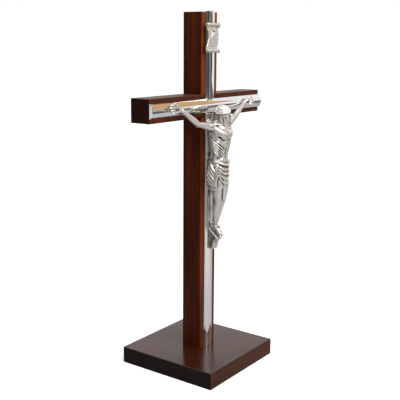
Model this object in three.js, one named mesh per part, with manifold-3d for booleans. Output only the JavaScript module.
// A standing cross with a cast metal corpus, in millimetres, +Z up, front facing -Y.
import * as THREE from 'three';
import { mergeVertices } from 'three/addons/utils/BufferGeometryUtils.js';
import { RoundedBoxGeometry } from 'three/addons/geometries/RoundedBoxGeometry.js';
import Module from 'manifold-3d';

const wasm = await Module();
wasm.setup();

// Wood
const TOTAL_HEIGHT = 261.5;
const BASE_SIDE = 82;
const BASE_THICKNESS = 12.4;
const POST_WIDTH = 19;
const WOOD_DEPTH = 16;
const BAR_LENGTH = 133.6;
const BAR_HEIGHT = 16.5;
const BAR_CENTRE_HEIGHT = 196;
const ARRIS_RADIUS = 0.5;
const LAP_DEPTH = 8;
const LAP_GAP = 0.1;

// Half round metal strips on the front of the wood
const POST_STRIP_WIDTH = 9.4;
const BAR_STRIP_WIDTH = 10.2;
const STRIP_RISE = 2.8;
const STRIP_OVERHANG = 0.6;
const STRIP_BUTT_GAP = 0.1;
const GLUE_LINE = 0.1;

// Clearance of a cast or turned piece to what it sits on or in
const SEAT_GAP = 0.3;

// Corpus
const FIGURE_HEIGHT = 98;
const FIGURE_ABOVE_BAR_CENTRE = 1.25;
const RIGHT_ELBOW_UP = 87.4;
const LEFT_ELBOW_UP = 91.2;
const HEAD_PIVOT = [0.8, 9.4, 88.4];
const HEAD_BOW = 0.36;
const HEAD_TILT = -0.14;
const HEAD_TURN = -0.8;
const HAND_NAIL_SPAN = 88;
const HAND_NAIL_RISE = 0.5;
const HAND_THICKNESS = 2.4;
const HAND_LENGTH = 13.5;
const FOOT_THICKNESS = 2.7;
const UPPER_FOOT_LIFT = 2.2;

// Foot rest
const REST_WIDTH = 7;
const REST_TOP_SLOPE_RUN = 7.7;
const REST_TOP_SLOPE_DROP = 6.9;
const REST_HEIGHT = 15.8;
const REST_BACK_ABOVE_TOES = 7.3;
const REST_EDGE = 0.3;
const REST_PIN_BELOW_EDGE = 4;
const REST_PIN_SINK = 0.5;
// The hollow front below the toes: [drop below the front edge, set back from it].
const REST_FRONT = [
  [0, 0], [0.6, 0], [1.8, 1.4], [3.1, 2.6], [4.5, 3.3], [6.3, 3.7], [REST_HEIGHT - REST_TOP_SLOPE_DROP, 4],
];

// Nails, pin and screws
const NAIL_HEAD_RADIUS = 1.35;
const NAIL_HEAD_RISE = 0.9;
const NAIL_SHAFT_RADIUS = 0.5;
const NAIL_WOOD_DEPTH = 5;
const FOOT_NAIL_ASIDE = -0.4;
const FOOT_NAIL_ALONG_SLOPE = 4.6;
const FOOT_NAIL_REST_DEPTH = 2.6;
const PIN_HEAD_RADIUS = 0.8;
const PIN_HEAD_RISE = 0.5;
const SCREW_HEAD_RADIUS = 3.2;
const SCREW_SHANK_RADIUS = 1.6;
const SCREW_LENGTH = 32;
const SCREW_SPACING = 10;
const SCREW_HEAD_SINK = 1;

// Scroll
const SCROLL_HEIGHT = 20.6;
const SCROLL_SHEET = 0.7;
const SCROLL_ROLL_RADIUS = 1.45;
const SCROLL_ROLL_TURNS = 0.95;
const SCROLL_TOP_BELOW_POST_TOP = 7.5;
const SCROLL_PIN_BELOW_TOP = 5.8;
// The scroll's uneven sides: [up from its foot, distance from the middle].
const SCROLL_LEFT_SIDE = [
  [0, 8.3], [1.8, 9.1], [3.8, 8.9], [6.8, 7.3], [9.8, 6.4],
  [13.8, 6.6], [16.3, 7.9], [18.8, 9.2], [SCROLL_HEIGHT, 8.8],
];
const SCROLL_RIGHT_SIDE = [[0, 5], [3.8, 4.7], [7.8, 5.3], [14.8, 5.5], [17.8, 5.6], [SCROLL_HEIGHT, 5.2]];

const POST_LENGTH = TOTAL_HEIGHT - BASE_THICKNESS;
const WOOD_FRONT = -WOOD_DEPTH / 2;
const STRIP_BACK = WOOD_FRONT - GLUE_LINE;
const STRIP_CROWN = STRIP_BACK - STRIP_RISE;
const BAR_TOP = BAR_CENTRE_HEIGHT + BAR_HEIGHT / 2;
const BAR_BOTTOM = BAR_CENTRE_HEIGHT - BAR_HEIGHT / 2;
const HAND_NAIL_HEIGHT = BAR_CENTRE_HEIGHT + HAND_NAIL_RISE;
const TOE_HEIGHT = BAR_CENTRE_HEIGHT + FIGURE_ABOVE_BAR_CENTRE - FIGURE_HEIGHT;
const SCROLL_TOP = TOTAL_HEIGHT - SCROLL_TOP_BELOW_POST_TOP;
const REST_BACK_TOP = TOE_HEIGHT + REST_BACK_ABOVE_TOES;
const CUT_REACH = 40;

const SIDEWAYS = new THREE.Vector3(1, 0, 0);
const UPWARD = new THREE.Vector3(0, 0, 1);

function finish(color, roughness, metalness) {
  return () => new THREE.MeshStandardMaterial({ color, roughness, metalness });
}

const stainedWood = finish(0x3a1a10, 0.35, 0);
const chrome = finish(0xdfe2e4, 0.06, 1);
const oldSilver = finish(0xa8a39c, 0.32, 1);
const darkNail = finish(0x77716b, 0.4, 1);
const zincedSteel = finish(0xb9b7ae, 0.45, 1);

// Solids

function solidOf(geometry) {
  const bare = geometry.clone();
  bare.deleteAttribute('normal');
  bare.deleteAttribute('uv');
  const merged = mergeVertices(bare, 1e-4);
  const vertProperties = new Float32Array(merged.attributes.position.array);
  const triVerts = new Uint32Array(merged.index.array);
  return new wasm.Manifold(new wasm.Mesh({ numProp: 3, vertProperties, triVerts }));
}

function geometryOf(solid) {
  const { vertProperties, triVerts } = solid.getMesh();
  const geometry = new THREE.BufferGeometry();
  geometry.setAttribute('position', new THREE.BufferAttribute(vertProperties, 3));
  geometry.setIndex(new THREE.BufferAttribute(triVerts, 1));
  geometry.computeVertexNormals();
  return geometry;
}

function union(geometries) {
  return geometries.map(solidOf).reduce((whole, solid) => whole.add(solid));
}

function without(solid, cutters) {
  return cutters.map(solidOf).reduce((left, cutter) => left.subtract(cutter), solid);
}

function boxBetween(low, high) {
  const size = new THREE.Vector3().subVectors(high, low);
  const centre = new THREE.Vector3().addVectors(low, high).multiplyScalar(0.5);
  return new THREE.BoxGeometry(size.x, size.y, size.z).translate(centre.x, centre.y, centre.z);
}

// A turned solid about the Y axis. Each point is [radius, distance in front of y].
function turnedForward(points, x, y, z, segments = 16) {
  const profile = points.map(([radius, out]) => new THREE.Vector2(radius, out));
  return new THREE.LatheGeometry(profile, segments)
    .rotateX(Math.PI)
    .translate(x, y, z);
}

function boreForward(radius, x, z, back, front) {
  return turnedForward([[0, 0], [radius, 0], [radius, back - front], [0, back - front]], x, back, z);
}

// Wood

function roundedTimber(width, depth, length) {
  return new RoundedBoxGeometry(width, depth, length, 2, ARRIS_RADIUS);
}

function screwPlaces() {
  return [-SCREW_SPACING / 2, SCREW_SPACING / 2];
}

function turnedUp(points, x, z) {
  const profile = points.map(([radius, height]) => new THREE.Vector2(radius, height));
  return new THREE.LatheGeometry(profile, 24)
    .rotateX(Math.PI / 2)
    .translate(x, 0, z);
}

function screwClearanceHole(x) {
  const head = SCREW_HEAD_RADIUS + SEAT_GAP;
  const shank = SCREW_SHANK_RADIUS + SEAT_GAP;
  const cone = SCREW_HEAD_RADIUS - SCREW_SHANK_RADIUS;
  const past = BASE_THICKNESS + 1;
  return turnedUp([
    [0, -1], [head, -1], [head, SCREW_HEAD_SINK], [shank, SCREW_HEAD_SINK + cone], [shank, past], [0, past],
  ], x, 0);
}

function makeBase() {
  const slab = roundedTimber(BASE_SIDE, BASE_SIDE, BASE_THICKNESS).translate(0, 0, BASE_THICKNESS / 2);
  return without(solidOf(slab), screwPlaces().map(screwClearanceHole));
}

function screwPilotHole(x) {
  const radius = SCREW_SHANK_RADIUS + SEAT_GAP;
  const top = SCREW_HEAD_SINK + SCREW_LENGTH + SEAT_GAP;
  return turnedUp([[0, BASE_THICKNESS - 1], [radius, BASE_THICKNESS - 1], [radius, top], [0, top]], x, 0);
}

// The bar is let into the front of the post, and the post into the back of the bar.
function makeUpright() {
  const footTrim = ARRIS_RADIUS;
  const timber = roundedTimber(POST_WIDTH, WOOD_DEPTH, POST_LENGTH + footTrim)
    .translate(0, 0, TOTAL_HEIGHT - (POST_LENGTH + footTrim) / 2);
  const belowFoot = boxBetween(
    new THREE.Vector3(-POST_WIDTH, -WOOD_DEPTH, BASE_THICKNESS - 2 * footTrim - 1),
    new THREE.Vector3(POST_WIDTH, WOOD_DEPTH, BASE_THICKNESS),
  );
  const housing = boxBetween(
    new THREE.Vector3(-POST_WIDTH, -WOOD_DEPTH, BAR_BOTTOM - LAP_GAP),
    new THREE.Vector3(POST_WIDTH, WOOD_FRONT + LAP_DEPTH + LAP_GAP, BAR_TOP + LAP_GAP),
  );
  const pinHoles = [restPinHeight(), scrollPinHeight()].map((height) => woodNailHole(0, height));
  return without(solidOf(timber), [belowFoot, housing, ...pinHoles, ...screwPlaces().map(screwPilotHole)]);
}

function makeCrossbar() {
  const timber = roundedTimber(BAR_LENGTH, WOOD_DEPTH, BAR_HEIGHT).translate(0, 0, BAR_CENTRE_HEIGHT);
  const housing = boxBetween(
    new THREE.Vector3(-POST_WIDTH / 2 - LAP_GAP, WOOD_FRONT + LAP_DEPTH, BAR_BOTTOM - 1),
    new THREE.Vector3(POST_WIDTH / 2 + LAP_GAP, WOOD_DEPTH, BAR_TOP + 1),
  );
  const nailHoles = handSides().map((side) => woodNailHole(handNailX(side), HAND_NAIL_HEIGHT));
  return without(solidOf(timber), [housing, ...nailHoles]);
}

// Strips

function stripProfile(width) {
  const shape = new THREE.Shape();
  shape.absellipse(0, 0, width / 2, STRIP_RISE, 0, Math.PI, false, 0);
  shape.closePath();
  return shape;
}

function strip(width, length) {
  return new THREE.ExtrudeGeometry(stripProfile(width), {
    depth: length,
    bevelEnabled: false,
    curveSegments: 16,
  });
}

function uprightStrip(from, to) {
  return strip(POST_STRIP_WIDTH, to - from)
    .rotateZ(Math.PI)
    .translate(0, STRIP_BACK, from);
}

function stripNailHole(x, z) {
  return boreForward(NAIL_SHAFT_RADIUS + SEAT_GAP, x, z, STRIP_BACK + 1, STRIP_CROWN - 1);
}

function makeCrossbarStrip() {
  const blank = strip(BAR_STRIP_WIDTH, BAR_LENGTH)
    .translate(0, 0, -BAR_LENGTH / 2)
    .rotateZ(Math.PI)
    .rotateY(Math.PI / 2)
    .translate(0, STRIP_BACK, BAR_CENTRE_HEIGHT);
  return without(solidOf(blank), handSides().map((side) => stripNailHole(handNailX(side), HAND_NAIL_HEIGHT)));
}

function makeUpperStrip() {
  const from = BAR_CENTRE_HEIGHT + BAR_STRIP_WIDTH / 2 + STRIP_BUTT_GAP;
  const blank = uprightStrip(from, TOTAL_HEIGHT + STRIP_OVERHANG);
  return without(solidOf(blank), [stripNailHole(0, scrollPinHeight())]);
}

function makeLowerStrip() {
  const to = BAR_CENTRE_HEIGHT - BAR_STRIP_WIDTH / 2 - STRIP_BUTT_GAP;
  const blank = uprightStrip(BASE_THICKNESS + STRIP_BUTT_GAP, to);
  return without(solidOf(blank), [stripNailHole(0, restPinHeight())]);
}

// Nails

function handSides() {
  return [-1, 1];
}

function handNailX(side) {
  return side * HAND_NAIL_SPAN / 2;
}

function woodNailHole(x, z) {
  const reach = NAIL_WOOD_DEPTH + SEAT_GAP;
  return boreForward(NAIL_SHAFT_RADIUS + SEAT_GAP, x, z, WOOD_FRONT + reach, WOOD_FRONT - 1);
}

// How far in front of the strip's crown each head sits.
function handSeatOut() {
  return SEAT_GAP + HAND_THICKNESS;
}

function pinSeatOut() {
  return SEAT_GAP + SCROLL_SHEET + SEAT_GAP;
}

// From the point of the shaft up to the dome of the head, which sits at seat.
function nailProfile(seat, shaft, headRadius, headRise) {
  return [
    [0, seat - shaft],
    [NAIL_SHAFT_RADIUS, seat - shaft + 2 * NAIL_SHAFT_RADIUS],
    [NAIL_SHAFT_RADIUS, seat],
    [headRadius, seat],
    [headRadius, seat + headRise * 0.3],
    [headRadius * 0.75, seat + headRise * 0.8],
    [0, seat + headRise],
  ];
}

function nail(x, z, seatOut, headRadius, headRise) {
  const seat = STRIP_CROWN - seatOut;
  const tip = WOOD_FRONT + NAIL_WOOD_DEPTH;
  return turnedForward(nailProfile(0, tip - seat, headRadius, headRise), x, seat, z);
}

// Clears the shaft, and levels the surface under the head.
function nailSeatCuts(x, z, seatOut, headRadius) {
  const seat = STRIP_CROWN - seatOut + SEAT_GAP / 3;
  return [
    boreForward(NAIL_SHAFT_RADIUS + SEAT_GAP, x, z, WOOD_FRONT, seat - 1),
    boreForward(headRadius + SEAT_GAP, x, z, seat, seat - CUT_REACH),
  ];
}

function makeHandNail(side) {
  return nail(handNailX(side), HAND_NAIL_HEIGHT, handSeatOut(), NAIL_HEAD_RADIUS, NAIL_HEAD_RISE);
}

function scrollPinHeight() {
  return SCROLL_TOP - SCROLL_PIN_BELOW_TOP;
}

function restPinHeight() {
  return REST_BACK_TOP - REST_TOP_SLOPE_DROP - REST_PIN_BELOW_EDGE;
}

// How far the foot rest's front is set back at a drop below its front edge.
function restSetBack(drop) {
  const i = REST_FRONT.findIndex(([below]) => below >= drop);
  const [upper, lower] = [REST_FRONT[i - 1], REST_FRONT[i]];
  return THREE.MathUtils.mapLinear(drop, upper[0], lower[0], upper[1], lower[1]);
}

// Where the rest pin's head lies, sunk into the leaning front of the foot rest.
function restPinSeatOut() {
  const front = SEAT_GAP + REST_TOP_SLOPE_RUN - restSetBack(REST_PIN_BELOW_EDGE);
  return front - REST_PIN_SINK;
}

function makeScrew(x) {
  const cone = SCREW_HEAD_RADIUS - SCREW_SHANK_RADIUS;
  const head = SCREW_HEAD_SINK;
  const tip = head + SCREW_LENGTH;
  return turnedUp([
    [0, head - 0.2],
    [SCREW_HEAD_RADIUS, head - 0.2],
    [SCREW_HEAD_RADIUS, head],
    [SCREW_SHANK_RADIUS, head + cone],
    [SCREW_SHANK_RADIUS, tip - 3 * SCREW_SHANK_RADIUS],
    [0, tip],
  ], x, 0);
}

// Foot rest: a wedge whose top slopes to the front, with its back on the strip.

function restSlope() {
  return Math.atan2(REST_TOP_SLOPE_DROP, REST_TOP_SLOPE_RUN);
}

// A point beside the slope: down along it from its back edge, and square above it.
function onSlope(x, along, above) {
  const slope = restSlope();
  return new THREE.Vector3(
    x,
    STRIP_CROWN - SEAT_GAP - along * Math.cos(slope) - above * Math.sin(slope),
    REST_BACK_TOP - along * Math.sin(slope) + above * Math.cos(slope),
  );
}

// A turned solid that stands square on the slope. Each point is [radius, height above it].
function turnedOnSlope(points, segments = 16) {
  const profile = points.map(([radius, above]) => new THREE.Vector2(radius, above));
  return new THREE.LatheGeometry(profile, segments)
    .rotateX(Math.PI / 2 + restSlope())
    .translate(...onSlope(FOOT_NAIL_ASIDE, FOOT_NAIL_ALONG_SLOPE, 0));
}

function footNailSeat() {
  return SEAT_GAP + UPPER_FOOT_LIFT + FOOT_THICKNESS;
}

function footNailBore(radius, from, to) {
  return turnedOnSlope([[0, from], [radius, from], [radius, to], [0, to]]);
}

function makeFootNail() {
  const seat = footNailSeat();
  return turnedOnSlope(nailProfile(seat, FOOT_NAIL_REST_DEPTH + seat, NAIL_HEAD_RADIUS, NAIL_HEAD_RISE));
}

function footNailCuts() {
  const seat = footNailSeat() - SEAT_GAP / 3;
  return [
    footNailBore(NAIL_SHAFT_RADIUS + SEAT_GAP, -FOOT_NAIL_REST_DEPTH, seat + 1),
    footNailBore(NAIL_HEAD_RADIUS + SEAT_GAP, seat, seat + CUT_REACH / 4),
  ];
}

function restProfile() {
  const frontTop = SEAT_GAP + REST_TOP_SLOPE_RUN;
  const shape = new THREE.Shape();
  shape.moveTo(SEAT_GAP, 0);
  shape.lineTo(SEAT_GAP, -REST_HEIGHT);
  [...REST_FRONT].reverse().forEach(([below, setBack]) => {
    shape.lineTo(frontTop - setBack, -REST_TOP_SLOPE_DROP - below);
  });
  shape.closePath();
  return shape;
}

// Everything within the seat gap of the sloping top, and a little more in front of it and below.
function restClearance() {
  const back = 0;
  const frontTop = SEAT_GAP + REST_TOP_SLOPE_RUN + 2 * SEAT_GAP;
  const shape = new THREE.Shape();
  shape.moveTo(back, 1.4 * SEAT_GAP);
  shape.lineTo(back, -REST_HEIGHT);
  shape.lineTo(frontTop / 2, -REST_HEIGHT);
  shape.lineTo(frontTop, 0.6 * SEAT_GAP - REST_TOP_SLOPE_DROP);
  shape.closePath();
  return shape;
}

function restSolid(profile, width, edge) {
  return new THREE.ExtrudeGeometry(profile, {
    depth: width - 2 * edge,
    bevelEnabled: edge > 0,
    bevelThickness: edge,
    bevelSize: edge,
    bevelOffset: -edge,
    bevelSegments: 2,
  })
    .translate(0, 0, -(width - 2 * edge) / 2)
    .rotateX(Math.PI / 2)
    .rotateZ(-Math.PI / 2)
    .translate(0, STRIP_CROWN, REST_BACK_TOP);
}

function makeFootRest() {
  const block = solidOf(restSolid(restProfile(), REST_WIDTH, REST_EDGE));
  const nailHole = footNailBore(NAIL_SHAFT_RADIUS + SEAT_GAP, -FOOT_NAIL_REST_DEPTH - SEAT_GAP, 1);
  return without(block, [nailHole, ...nailSeatCuts(0, restPinHeight(), restPinSeatOut(), PIN_HEAD_RADIUS)]);
}

// Scroll: one sheet with both ends rolled forward, narrowed between the rolls.

function scrollSheetLine() {
  const sheet = SEAT_GAP + SCROLL_SHEET / 2;
  const radius = SCROLL_ROLL_RADIUS - SCROLL_SHEET / 2;
  const turn = 2 * Math.PI * SCROLL_ROLL_TURNS;
  const steps = 14;
  const points = [];
  const roll = (centreUp, direction) => {
    const curl = [];
    for (let i = 0; i <= steps; i++) {
      const share = i / steps;
      const size = radius * (1 - 0.62 * share);
      const angle = Math.PI - direction * turn * share;
      curl.push(new THREE.Vector2(sheet + radius + size * Math.cos(angle), centreUp + size * Math.sin(angle)));
    }
    return curl;
  };
  points.push(...roll(-SCROLL_HEIGHT + SCROLL_ROLL_RADIUS, -1).reverse());
  points.push(...roll(-SCROLL_ROLL_RADIUS, 1));
  return points;
}

function ribbonShape(line, thickness) {
  const left = [];
  const right = [];
  line.forEach((point, i) => {
    const before = line[Math.max(i - 1, 0)];
    const after = line[Math.min(i + 1, line.length - 1)];
    const along = new THREE.Vector2().subVectors(after, before).normalize();
    const across = new THREE.Vector2(-along.y, along.x).multiplyScalar(thickness / 2);
    left.push(point.clone().add(across));
    right.push(point.clone().sub(across));
  });
  return new THREE.Shape([...right, ...left.reverse()]);
}

function scrollOutline() {
  const left = SCROLL_LEFT_SIDE.map(([up, out]) => new THREE.Vector2(-out, up - SCROLL_HEIGHT));
  const right = SCROLL_RIGHT_SIDE.map(([up, out]) => new THREE.Vector2(out, up - SCROLL_HEIGHT));
  const shape = new THREE.Shape();
  shape.moveTo(left[0].x, left[0].y - 1);
  shape.lineTo(right[0].x, right[0].y - 1);
  shape.lineTo(right[0].x, right[0].y);
  shape.splineThru(right.slice(1));
  shape.lineTo(right.at(-1).x, 1);
  shape.lineTo(left.at(-1).x, 1);
  shape.lineTo(left.at(-1).x, left.at(-1).y);
  shape.splineThru([...left].reverse().slice(1));
  shape.closePath();
  return shape;
}

function makeScroll() {
  const ribbon = new THREE.ExtrudeGeometry(ribbonShape(scrollSheetLine(), SCROLL_SHEET), {
    depth: CUT_REACH,
    bevelEnabled: false,
  })
    .translate(0, 0, -CUT_REACH / 2)
    .rotateX(Math.PI / 2)
    .rotateZ(-Math.PI / 2);
  const outline = new THREE.ExtrudeGeometry(scrollOutline(), {
    depth: CUT_REACH,
    bevelEnabled: false,
    curveSegments: 3,
  })
    .translate(0, 0, -CUT_REACH / 2)
    .rotateX(Math.PI / 2);
  const sheet = solidOf(ribbon).intersect(solidOf(outline));
  const placed = geometryOf(sheet).translate(0, STRIP_CROWN, SCROLL_TOP);
  return without(solidOf(placed), nailSeatCuts(0, scrollPinHeight(), pinSeatOut(), PIN_HEAD_RADIUS));
}

// Corpus. Its lengths are hundredths of the figure's height: x to the viewer's right,
// out from the strip's crown, up from the tips of the toes.

function figureLength(share) {
  return share * FIGURE_HEIGHT / 100;
}

function figureOut(share) {
  return SEAT_GAP + figureLength(share);
}

function figureUp(share) {
  return TOE_HEIGHT + figureLength(share);
}

function figurePoint(x, out, up) {
  return new THREE.Vector3(figureLength(x), STRIP_CROWN - figureOut(out), figureUp(up));
}

// A station in figure shares: [x, out, up, half width, half depth].
function station([x, out, up, width, depth = width]) {
  return { centre: figurePoint(x, out, up), width: figureLength(width), depth: figureLength(depth) };
}

function sectionAt(line, sizes, across, t) {
  const tangent = line.getTangent(t);
  const side = across.clone().addScaledVector(tangent, -across.dot(tangent)).normalize();
  const front = new THREE.Vector3().crossVectors(tangent, side);
  const size = sizes.getPoint(t);
  return { centre: line.getPoint(t), tangent, side, front, width: size.x, depth: size.y };
}

function ringPoints(section, sides, push, shrink, fold) {
  const centre = section.centre.clone().addScaledVector(section.tangent, push);
  const points = [];
  for (let j = 0; j < sides; j++) {
    const angle = (2 * Math.PI * j) / sides;
    const scale = shrink * (1 + fold(angle));
    points.push(centre.clone()
      .addScaledVector(section.side, section.width * scale * Math.cos(angle))
      .addScaledVector(section.front, section.depth * scale * Math.sin(angle)));
  }
  return points;
}

function closedSkin(rings, start, end) {
  const sides = rings[0].length;
  const vertices = [start, ...rings.flat(), end];
  const last = vertices.length - 1;
  const at = (i, j) => 1 + i * sides + (j % sides);
  const index = [];
  for (let j = 0; j < sides; j++) {
    index.push(0, at(0, j + 1), at(0, j));
    index.push(last, at(rings.length - 1, j), at(rings.length - 1, j + 1));
    for (let i = 0; i + 1 < rings.length; i++) {
      index.push(at(i, j), at(i, j + 1), at(i + 1, j + 1));
      index.push(at(i, j), at(i + 1, j + 1), at(i + 1, j));
    }
  }
  const geometry = new THREE.BufferGeometry().setFromPoints(vertices);
  geometry.setIndex(index);
  return geometry;
}

// A loft of elliptical sections along a smooth line, with rounded ends.
function loft(stations, { sides = 12, rings = 10, across = SIDEWAYS, cap = 0.8, fold = () => 0 } = {}) {
  const line = new THREE.CatmullRomCurve3(stations.map((s) => s.centre), false, 'centripetal');
  const sizes = new THREE.CatmullRomCurve3(stations.map((s) => new THREE.Vector3(s.width, s.depth, 0)));
  const skin = [];
  const first = sectionAt(line, sizes, across, 0);
  const last = sectionAt(line, sizes, across, 1);
  const capDepth = (section) => cap * Math.min(section.width, section.depth);
  skin.push(ringPoints(first, sides, -0.75 * capDepth(first), 0.66, fold));
  for (let i = 0; i < rings; i++) {
    const t = i / (rings - 1);
    skin.push(ringPoints(sectionAt(line, sizes, across, t), sides, 0, 1, (angle) => fold(angle, t)));
  }
  skin.push(ringPoints(last, sides, 0.75 * capDepth(last), 0.66, fold));
  const start = first.centre.clone().addScaledVector(first.tangent, -capDepth(first));
  const end = last.centre.clone().addScaledVector(last.tangent, capDepth(last));
  return closedSkin(skin, start, end);
}

function body(stations, options) {
  return loft(stations.map(station), options);
}

function mirrored(stations, side) {
  return stations.map(([x, ...rest]) => [side * x, ...rest]);
}

function makeTorso() {
  return body([
    [-0.4, 6.2, 46.5, 7.4, 5.2],
    [-0.4, 6.2, 51, 8.8, 6.3],
    [0, 6.7, 57, 7.8, 5.4],
    [0.2, 7.3, 62.5, 6.8, 4.3],
    [0.1, 7.4, 67, 7.8, 5.2],
    [0, 7.3, 72, 9.3, 6.5],
    [0, 7.0, 78, 10.5, 7.3],
    [0, 6.7, 82.5, 9.8, 6.3],
    [-0.1, 7.0, 85.4, 7.0, 4.6],
    [-0.2, 7.4, 87.6, 4.0, 3.4],
  ], { sides: 20, rings: 17 });
}

function makeBreast(side) {
  return body(mirrored([
    [1.7, 12.7, 77.4, 2.5, 1.4],
    [5.2, 12.4, 78.8, 3.1, 1.9],
    [8.8, 9.6, 82.4, 2.3, 1.8],
  ], side), { sides: 10, rings: 5, across: UPWARD });
}

function makeNeck() {
  return body([
    [0.1, 7.2, 83.6, 3.8, 3.4],
    [0.6, 8.6, 87, 3.2, 3.1],
    [0.8, 10.4, 91, 3.1, 3.1],
  ], { sides: 12, rings: 5 });
}

function makeLeg(side, kneeOut, ankleX, ankleOut) {
  return body([
    [side * 4.4, 6.0, 49, 4.4, 5.2],
    [side * 4.3, 6.9, 42, 4.2, 4.9],
    [side * 3.7, 7.6, 34.5, 3.5, 3.8],
    [side * 3.0, kneeOut, 29.5, 2.8, 2.9],
    [side * 2.9, kneeOut - 0.9, 25.5, 2.5, 2.7],
    [side * 2.7, kneeOut - 1.9, 20.5, 2.6, 2.8],
    [(side * 2.2 + ankleX) / 2, (kneeOut - 2.6 + ankleOut) / 2, 13, 1.8, 2.0],
    [ankleX, ankleOut, 8.8, 1.5, 1.8],
  ], { sides: 12, rings: 17 });
}

// A foot lies along the slope of the foot rest, lifted by what is under its sole.
function makeFoot(heelX, toeX, lift) {
  const length = Math.hypot(REST_TOP_SLOPE_RUN, REST_TOP_SLOPE_DROP);
  const half = FOOT_THICKNESS / 2;
  const sole = lift + SEAT_GAP + half;
  const at = (share, along, rise, width, depth) => ({
    centre: onSlope(heelX + (toeX - heelX) * share, length * along, sole + rise),
    width,
    depth,
  });
  return loft([
    at(0, 0.12, 0.6, 1.6, half),
    at(0.35, 0.35, 0.5, 1.7, half + 0.3),
    at(0.75, 0.68, 0.1, 2.1, half),
    at(1, 0.93, -0.3, 2.0, half * 0.6),
  ], { sides: 12, rings: 9 });
}

function makeFeet() {
  return [makeFoot(1.5, 1.2, 0), makeFoot(-1.3, 0.1, UPPER_FOOT_LIFT)];
}

// Arms run from the shoulder to the wrist at the nail.
function wristCentre(side) {
  const hand = handNailX(side) - side * HAND_LENGTH * 0.47;
  return new THREE.Vector3(hand, STRIP_CROWN - SEAT_GAP - HAND_THICKNESS * 0.75, HAND_NAIL_HEIGHT - 1.6);
}

function makeArm(side, elbowUp) {
  const shoulder = figurePoint(side * 9.4, 6.6, 84.2);
  const wrist = wristCentre(side);
  const elbow = new THREE.Vector3().lerpVectors(shoulder, wrist, 0.52);
  elbow.z = figureUp(elbowUp);
  elbow.y -= figureLength(0.9);
  const between = (from, to, share) => new THREE.Vector3().lerpVectors(from, to, share);
  const at = (centre, width, depth) => ({ centre, width: figureLength(width), depth: figureLength(depth) });
  const chest = figurePoint(side * 5.8, 6.6, 82.4);
  return loft([
    at(chest, 3.1, 3.1),
    at(shoulder, 3.3, 3.2),
    at(between(shoulder, elbow, 0.35), 2.9, 2.8),
    at(between(shoulder, elbow, 0.75), 2.3, 2.3),
    at(elbow, 2.1, 2.1),
    at(between(elbow, wrist, 0.3), 2.3, 2.1),
    at(between(elbow, wrist, 0.7), 1.8, 1.6),
    at(wrist, 1.5, 1.25),
  ], { sides: 10, rings: 15, across: UPWARD });
}

function handPoint(side, along, out, up) {
  return new THREE.Vector3(
    handNailX(side) + side * along,
    STRIP_CROWN - SEAT_GAP - out,
    HAND_NAIL_HEIGHT + up,
  );
}

function makeFinger(side, rootUp, tipUp, tipAlong, curl) {
  const thick = 0.72;
  const at = (along, out, up, size) => ({ centre: handPoint(side, along, out, up), width: size, depth: size });
  return loft([
    at(1.2, HAND_THICKNESS * 0.55, rootUp, thick),
    at(1.2 + (tipAlong - 1.2) * 0.55, HAND_THICKNESS * 0.6 + curl, (rootUp + tipUp) / 2, thick),
    at(tipAlong, HAND_THICKNESS * 0.45 + curl * 1.6, tipUp, thick * 0.8),
  ], { sides: 6, rings: 4, across: UPWARD });
}

function makeHand(side) {
  const at = (along, up, width, depth) => ({
    centre: handPoint(side, along, HAND_THICKNESS / 2, up),
    width,
    depth,
  });
  const palm = loft([
    at(-HAND_LENGTH * 0.44, -1.3, 1.6, HAND_THICKNESS * 0.45),
    at(-HAND_LENGTH * 0.22, -0.7, 2.2, HAND_THICKNESS * 0.5),
    at(0, -0.1, 2.7, HAND_THICKNESS * 0.5),
    at(HAND_LENGTH * 0.16, 0.1, 2.5, HAND_THICKNESS * 0.42),
  ], { sides: 12, rings: 7, across: UPWARD });
  const reach = HAND_LENGTH * 0.53;
  const fingers = [
    makeFinger(side, 1.9, 2.9, reach * 0.86, 0.2),
    makeFinger(side, 0.7, 1.1, reach, 0.4),
    makeFinger(side, -0.6, -0.5, reach * 0.97, 0.7),
    makeFinger(side, -1.8, -2.1, reach * 0.8, 0.9),
  ];
  const thumb = loft([
    { centre: handPoint(side, -HAND_LENGTH * 0.2, HAND_THICKNESS * 0.6, 1.2), width: 0.9, depth: 0.9 },
    { centre: handPoint(side, 0.2, HAND_THICKNESS * 0.8, 3.0), width: 0.8, depth: 0.8 },
    { centre: handPoint(side, 2.4, HAND_THICKNESS * 0.9, 3.9), width: 0.6, depth: 0.6 },
  ], { sides: 6, rings: 4, across: UPWARD });
  return [palm, ...fingers, thumb];
}

// The cloth hangs round the hips in slanting folds.
function makeLoincloth() {
  const slant = 1.1;
  const folds = 8;
  const fold = (angle, t = 0.5) => 0.04 * Math.sin(folds * angle + slant * t * Math.PI);
  return body([
    [-0.5, 6.3, 40.5, 9.1, 6.7],
    [-0.5, 6.3, 45, 9.5, 7.0],
    [-0.5, 6.3, 50, 9.5, 7.1],
    [-0.3, 6.5, 55, 8.9, 6.5],
    [0, 6.9, 59, 8.0, 5.6],
  ], { sides: 40, rings: 9, cap: 0.25, fold });
}

// The cloth's front end, which falls between the thighs.
function makeClothFall() {
  const pleat = (angle) => 0.12 * Math.sin(6 * angle);
  return body([
    [0.2, 12.2, 45, 2.9, 1.0],
    [0.2, 11.9, 37.5, 2.6, 1.1],
    [0.5, 11.2, 29.5, 1.7, 0.6],
  ], { sides: 20, rings: 6, fold: pleat });
}

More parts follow.
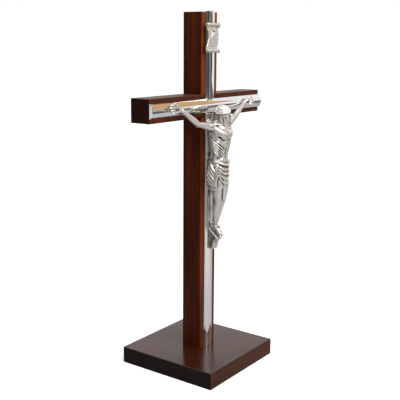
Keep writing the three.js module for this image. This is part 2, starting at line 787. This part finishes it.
function clothTail(shift, out, size) {
  return body([
    [8.6 + 0.4 * shift, 8.6 + out, 56, 0.9 * size],
    [9.1 + shift, 8.5 + out, 50.5, size, 0.9 * size],
    [9.3 + 1.2 * shift, 8.1 + out, 43, 1.1 * size, 0.9 * size],
    [9.0 + 1.2 * shift, 7.6 + 0.8 * out, 36, size, 0.8 * size],
    [7.6 + 1.1 * shift, 7.3 + 0.6 * out, 30.5 - shift, 0.6 * size],
  ], { sides: 8, rings: 8 });
}

function makeClothKnot() {
  const knot = body([
    [7.2, 9.4, 58.2, 1.3, 1.4],
    [8.1, 8.9, 56.8, 1.6, 1.7],
    [8.7, 8.1, 55.2, 1.3, 1.4],
  ], { sides: 12, rings: 5 });
  return [knot, clothTail(-0.55, -0.2, 0.75), clothTail(0.3, 0.35, 0.8)];
}

// Head, bowed and turned towards the figure's right shoulder.
function headPlace() {
  const pivot = figurePoint(...HEAD_PIVOT);
  const bowTiltTurn = new THREE.Euler(HEAD_BOW, HEAD_TILT, HEAD_TURN, 'ZYX');
  return new THREE.Matrix4().makeRotationFromEuler(bowTiltTurn).setPosition(pivot);
}

function headPart(stations, options) {
  const upright = stations.map(([x, out, up, width, depth = width]) => ({
    centre: new THREE.Vector3(figureLength(x), -figureLength(out), figureLength(up)),
    width: figureLength(width),
    depth: figureLength(depth),
  }));
  return loft(upright, options).applyMatrix4(headPlace());
}

function makeCrownOfThorns() {
  const turns = 6;
  const steps = 38;
  const strand = (phase) => {
    const points = [];
    for (let i = 0; i <= steps; i++) {
      const angle = Math.PI / 2 + 1.98 * Math.PI * i / steps;
      const twist = turns * angle + phase;
      const swell = figureLength(0.45);
      points.push(new THREE.Vector3(
        (figureLength(4.9) + swell * Math.cos(twist)) * Math.cos(angle),
        (figureLength(5.7) + swell * Math.cos(twist)) * Math.sin(angle) - figureLength(0.4),
        figureLength(7.2) - 0.16 * figureLength(5.7) * Math.sin(angle) + swell * Math.sin(twist),
      ));
    }
    return new THREE.CatmullRomCurve3(points);
  };
  return [0, Math.PI].map((phase) => {
    const section = new THREE.Shape().absarc(0, 0, figureLength(0.62), 0, 2 * Math.PI, false);
    return new THREE.ExtrudeGeometry(section, {
      steps,
      extrudePath: strand(phase),
      curveSegments: 3,
      bevelEnabled: false,
    }).applyMatrix4(headPlace());
  });
}

function makeHead() {
  const skull = headPart([
    [0, -0.4, 0, 3.1, 3.8],
    [0, -0.2, 2.4, 4.2, 5.0],
    [0, -0.2, 5, 4.7, 5.6],
    [0, -0.3, 7.6, 4.3, 5.1],
    [0, -0.4, 9.7, 2.7, 3.2],
  ], { sides: 16, rings: 11, cap: 0.4 });
  const jaw = headPart([
    [0, 3.2, -1.9, 1.5, 1.2],
    [0, 2.9, 0.2, 2.7, 2.1],
    [0, 3.0, 3, 3.3, 2.1],
  ], { sides: 12, rings: 6 });
  const nose = headPart([[0, 5.7, 2.3, 0.7, 0.6], [0, 5.1, 4.4, 0.45, 0.6]], { sides: 8, rings: 4 });
  const brow = headPart([[-2.5, 4.1, 4.7, 0.6, 0.7], [0, 5.0, 4.9, 0.7, 0.7], [2.5, 4.1, 4.7, 0.6, 0.7]], {
    sides: 8,
    rings: 6,
    across: UPWARD,
  });
  const beard = headPart([[0, 3.6, 0.6, 2.5, 1.7], [0, 3.9, -1.8, 2.1, 1.6], [0, 3.8, -3.8, 1.1, 0.9]], {
    sides: 12,
    rings: 6,
  });
  return [skull, jaw, nose, brow, beard];
}

function makeHair() {
  const wave = (angle, t = 0.5) => 0.1 * Math.sin(6 * angle + 4 * t);
  const lock = (side) => headPart([
    [side * 3.6, -0.4, 7.4, 1.4, 2.6],
    [side * 4.2, -0.6, 4, 1.4, 3.2],
    [side * 4.2, -0.6, 0.4, 1.4, 2.8],
    [side * 4.0, 0.1, -2.6, 1.3, 2.0],
    [side * 3.9, 0.7, -4.6, 0.9, 1.0],
  ], { sides: 14, rings: 7, fold: wave });
  const nape = headPart([
    [0, -3.6, 7, 3.6, 1.8],
    [0, -4.4, 3, 4.2, 1.9],
    [0, -4.2, -1.5, 3.9, 1.7],
    [0, -3.6, -4.2, 3.1, 1.2],
  ], { sides: 16, rings: 7, fold: wave });
  return [lock(-1), lock(1), nape];
}

function behindBack() {
  return boxBetween(
    new THREE.Vector3(-BAR_LENGTH, STRIP_CROWN - SEAT_GAP, TOE_HEIGHT - CUT_REACH),
    new THREE.Vector3(BAR_LENGTH, WOOD_DEPTH, TOTAL_HEIGHT),
  );
}

function makeCorpus() {
  const parts = [
    makeTorso(),
    ...handSides().map(makeBreast),
    makeNeck(),
    makeLeg(-1, 7.9, -1.7, 5.4),
    makeLeg(1, 7.7, 1.6, 3.3),
    ...makeFeet(),
    makeArm(-1, RIGHT_ELBOW_UP),
    makeArm(1, LEFT_ELBOW_UP),
    ...handSides().flatMap(makeHand),
    makeLoincloth(),
    makeClothFall(),
    ...makeClothKnot(),
    ...makeHead(),
    ...makeHair(),
    ...makeCrownOfThorns(),
  ];
  const cuts = [
    behindBack(),
    restSolid(restClearance(), REST_WIDTH + CUT_REACH, 0),
    ...handSides().flatMap((side) => nailSeatCuts(
      handNailX(side), HAND_NAIL_HEIGHT, handSeatOut(), NAIL_HEAD_RADIUS)),
    ...footNailCuts(),
  ];
  return without(union(parts), cuts);
}

// Assembly

const cross = new THREE.Group();

function addPiece(name, piece, material) {
  const geometry = piece.isBufferGeometry ? piece : geometryOf(piece);
  const mesh = new THREE.Mesh(geometry, material());
  mesh.name = name;
  cross.add(mesh);
}

addPiece('base', makeBase(), stainedWood);
addPiece('upright', makeUpright(), stainedWood);
addPiece('crossbar', makeCrossbar(), stainedWood);
addPiece('crossbar_strip', makeCrossbarStrip(), chrome);
addPiece('upper_strip', makeUpperStrip(), chrome);
addPiece('lower_strip', makeLowerStrip(), chrome);
addPiece('scroll', makeScroll(), oldSilver);
addPiece('scroll_pin', nail(0, scrollPinHeight(), pinSeatOut(), PIN_HEAD_RADIUS, PIN_HEAD_RISE), oldSilver);
addPiece('corpus', makeCorpus(), oldSilver);
addPiece('foot_rest', makeFootRest(), oldSilver);
addPiece('right_hand_nail', makeHandNail(-1), darkNail);
addPiece('left_hand_nail', makeHandNail(1), darkNail);
addPiece('foot_nail', makeFootNail(), darkNail);
addPiece('rest_pin', nail(0, restPinHeight(), restPinSeatOut(), PIN_HEAD_RADIUS, PIN_HEAD_RISE), oldSilver);
addPiece('left_base_screw', makeScrew(SCREW_SPACING / 2), zincedSteel);
addPiece('right_base_screw', makeScrew(-SCREW_SPACING / 2), zincedSteel);

export default cross;
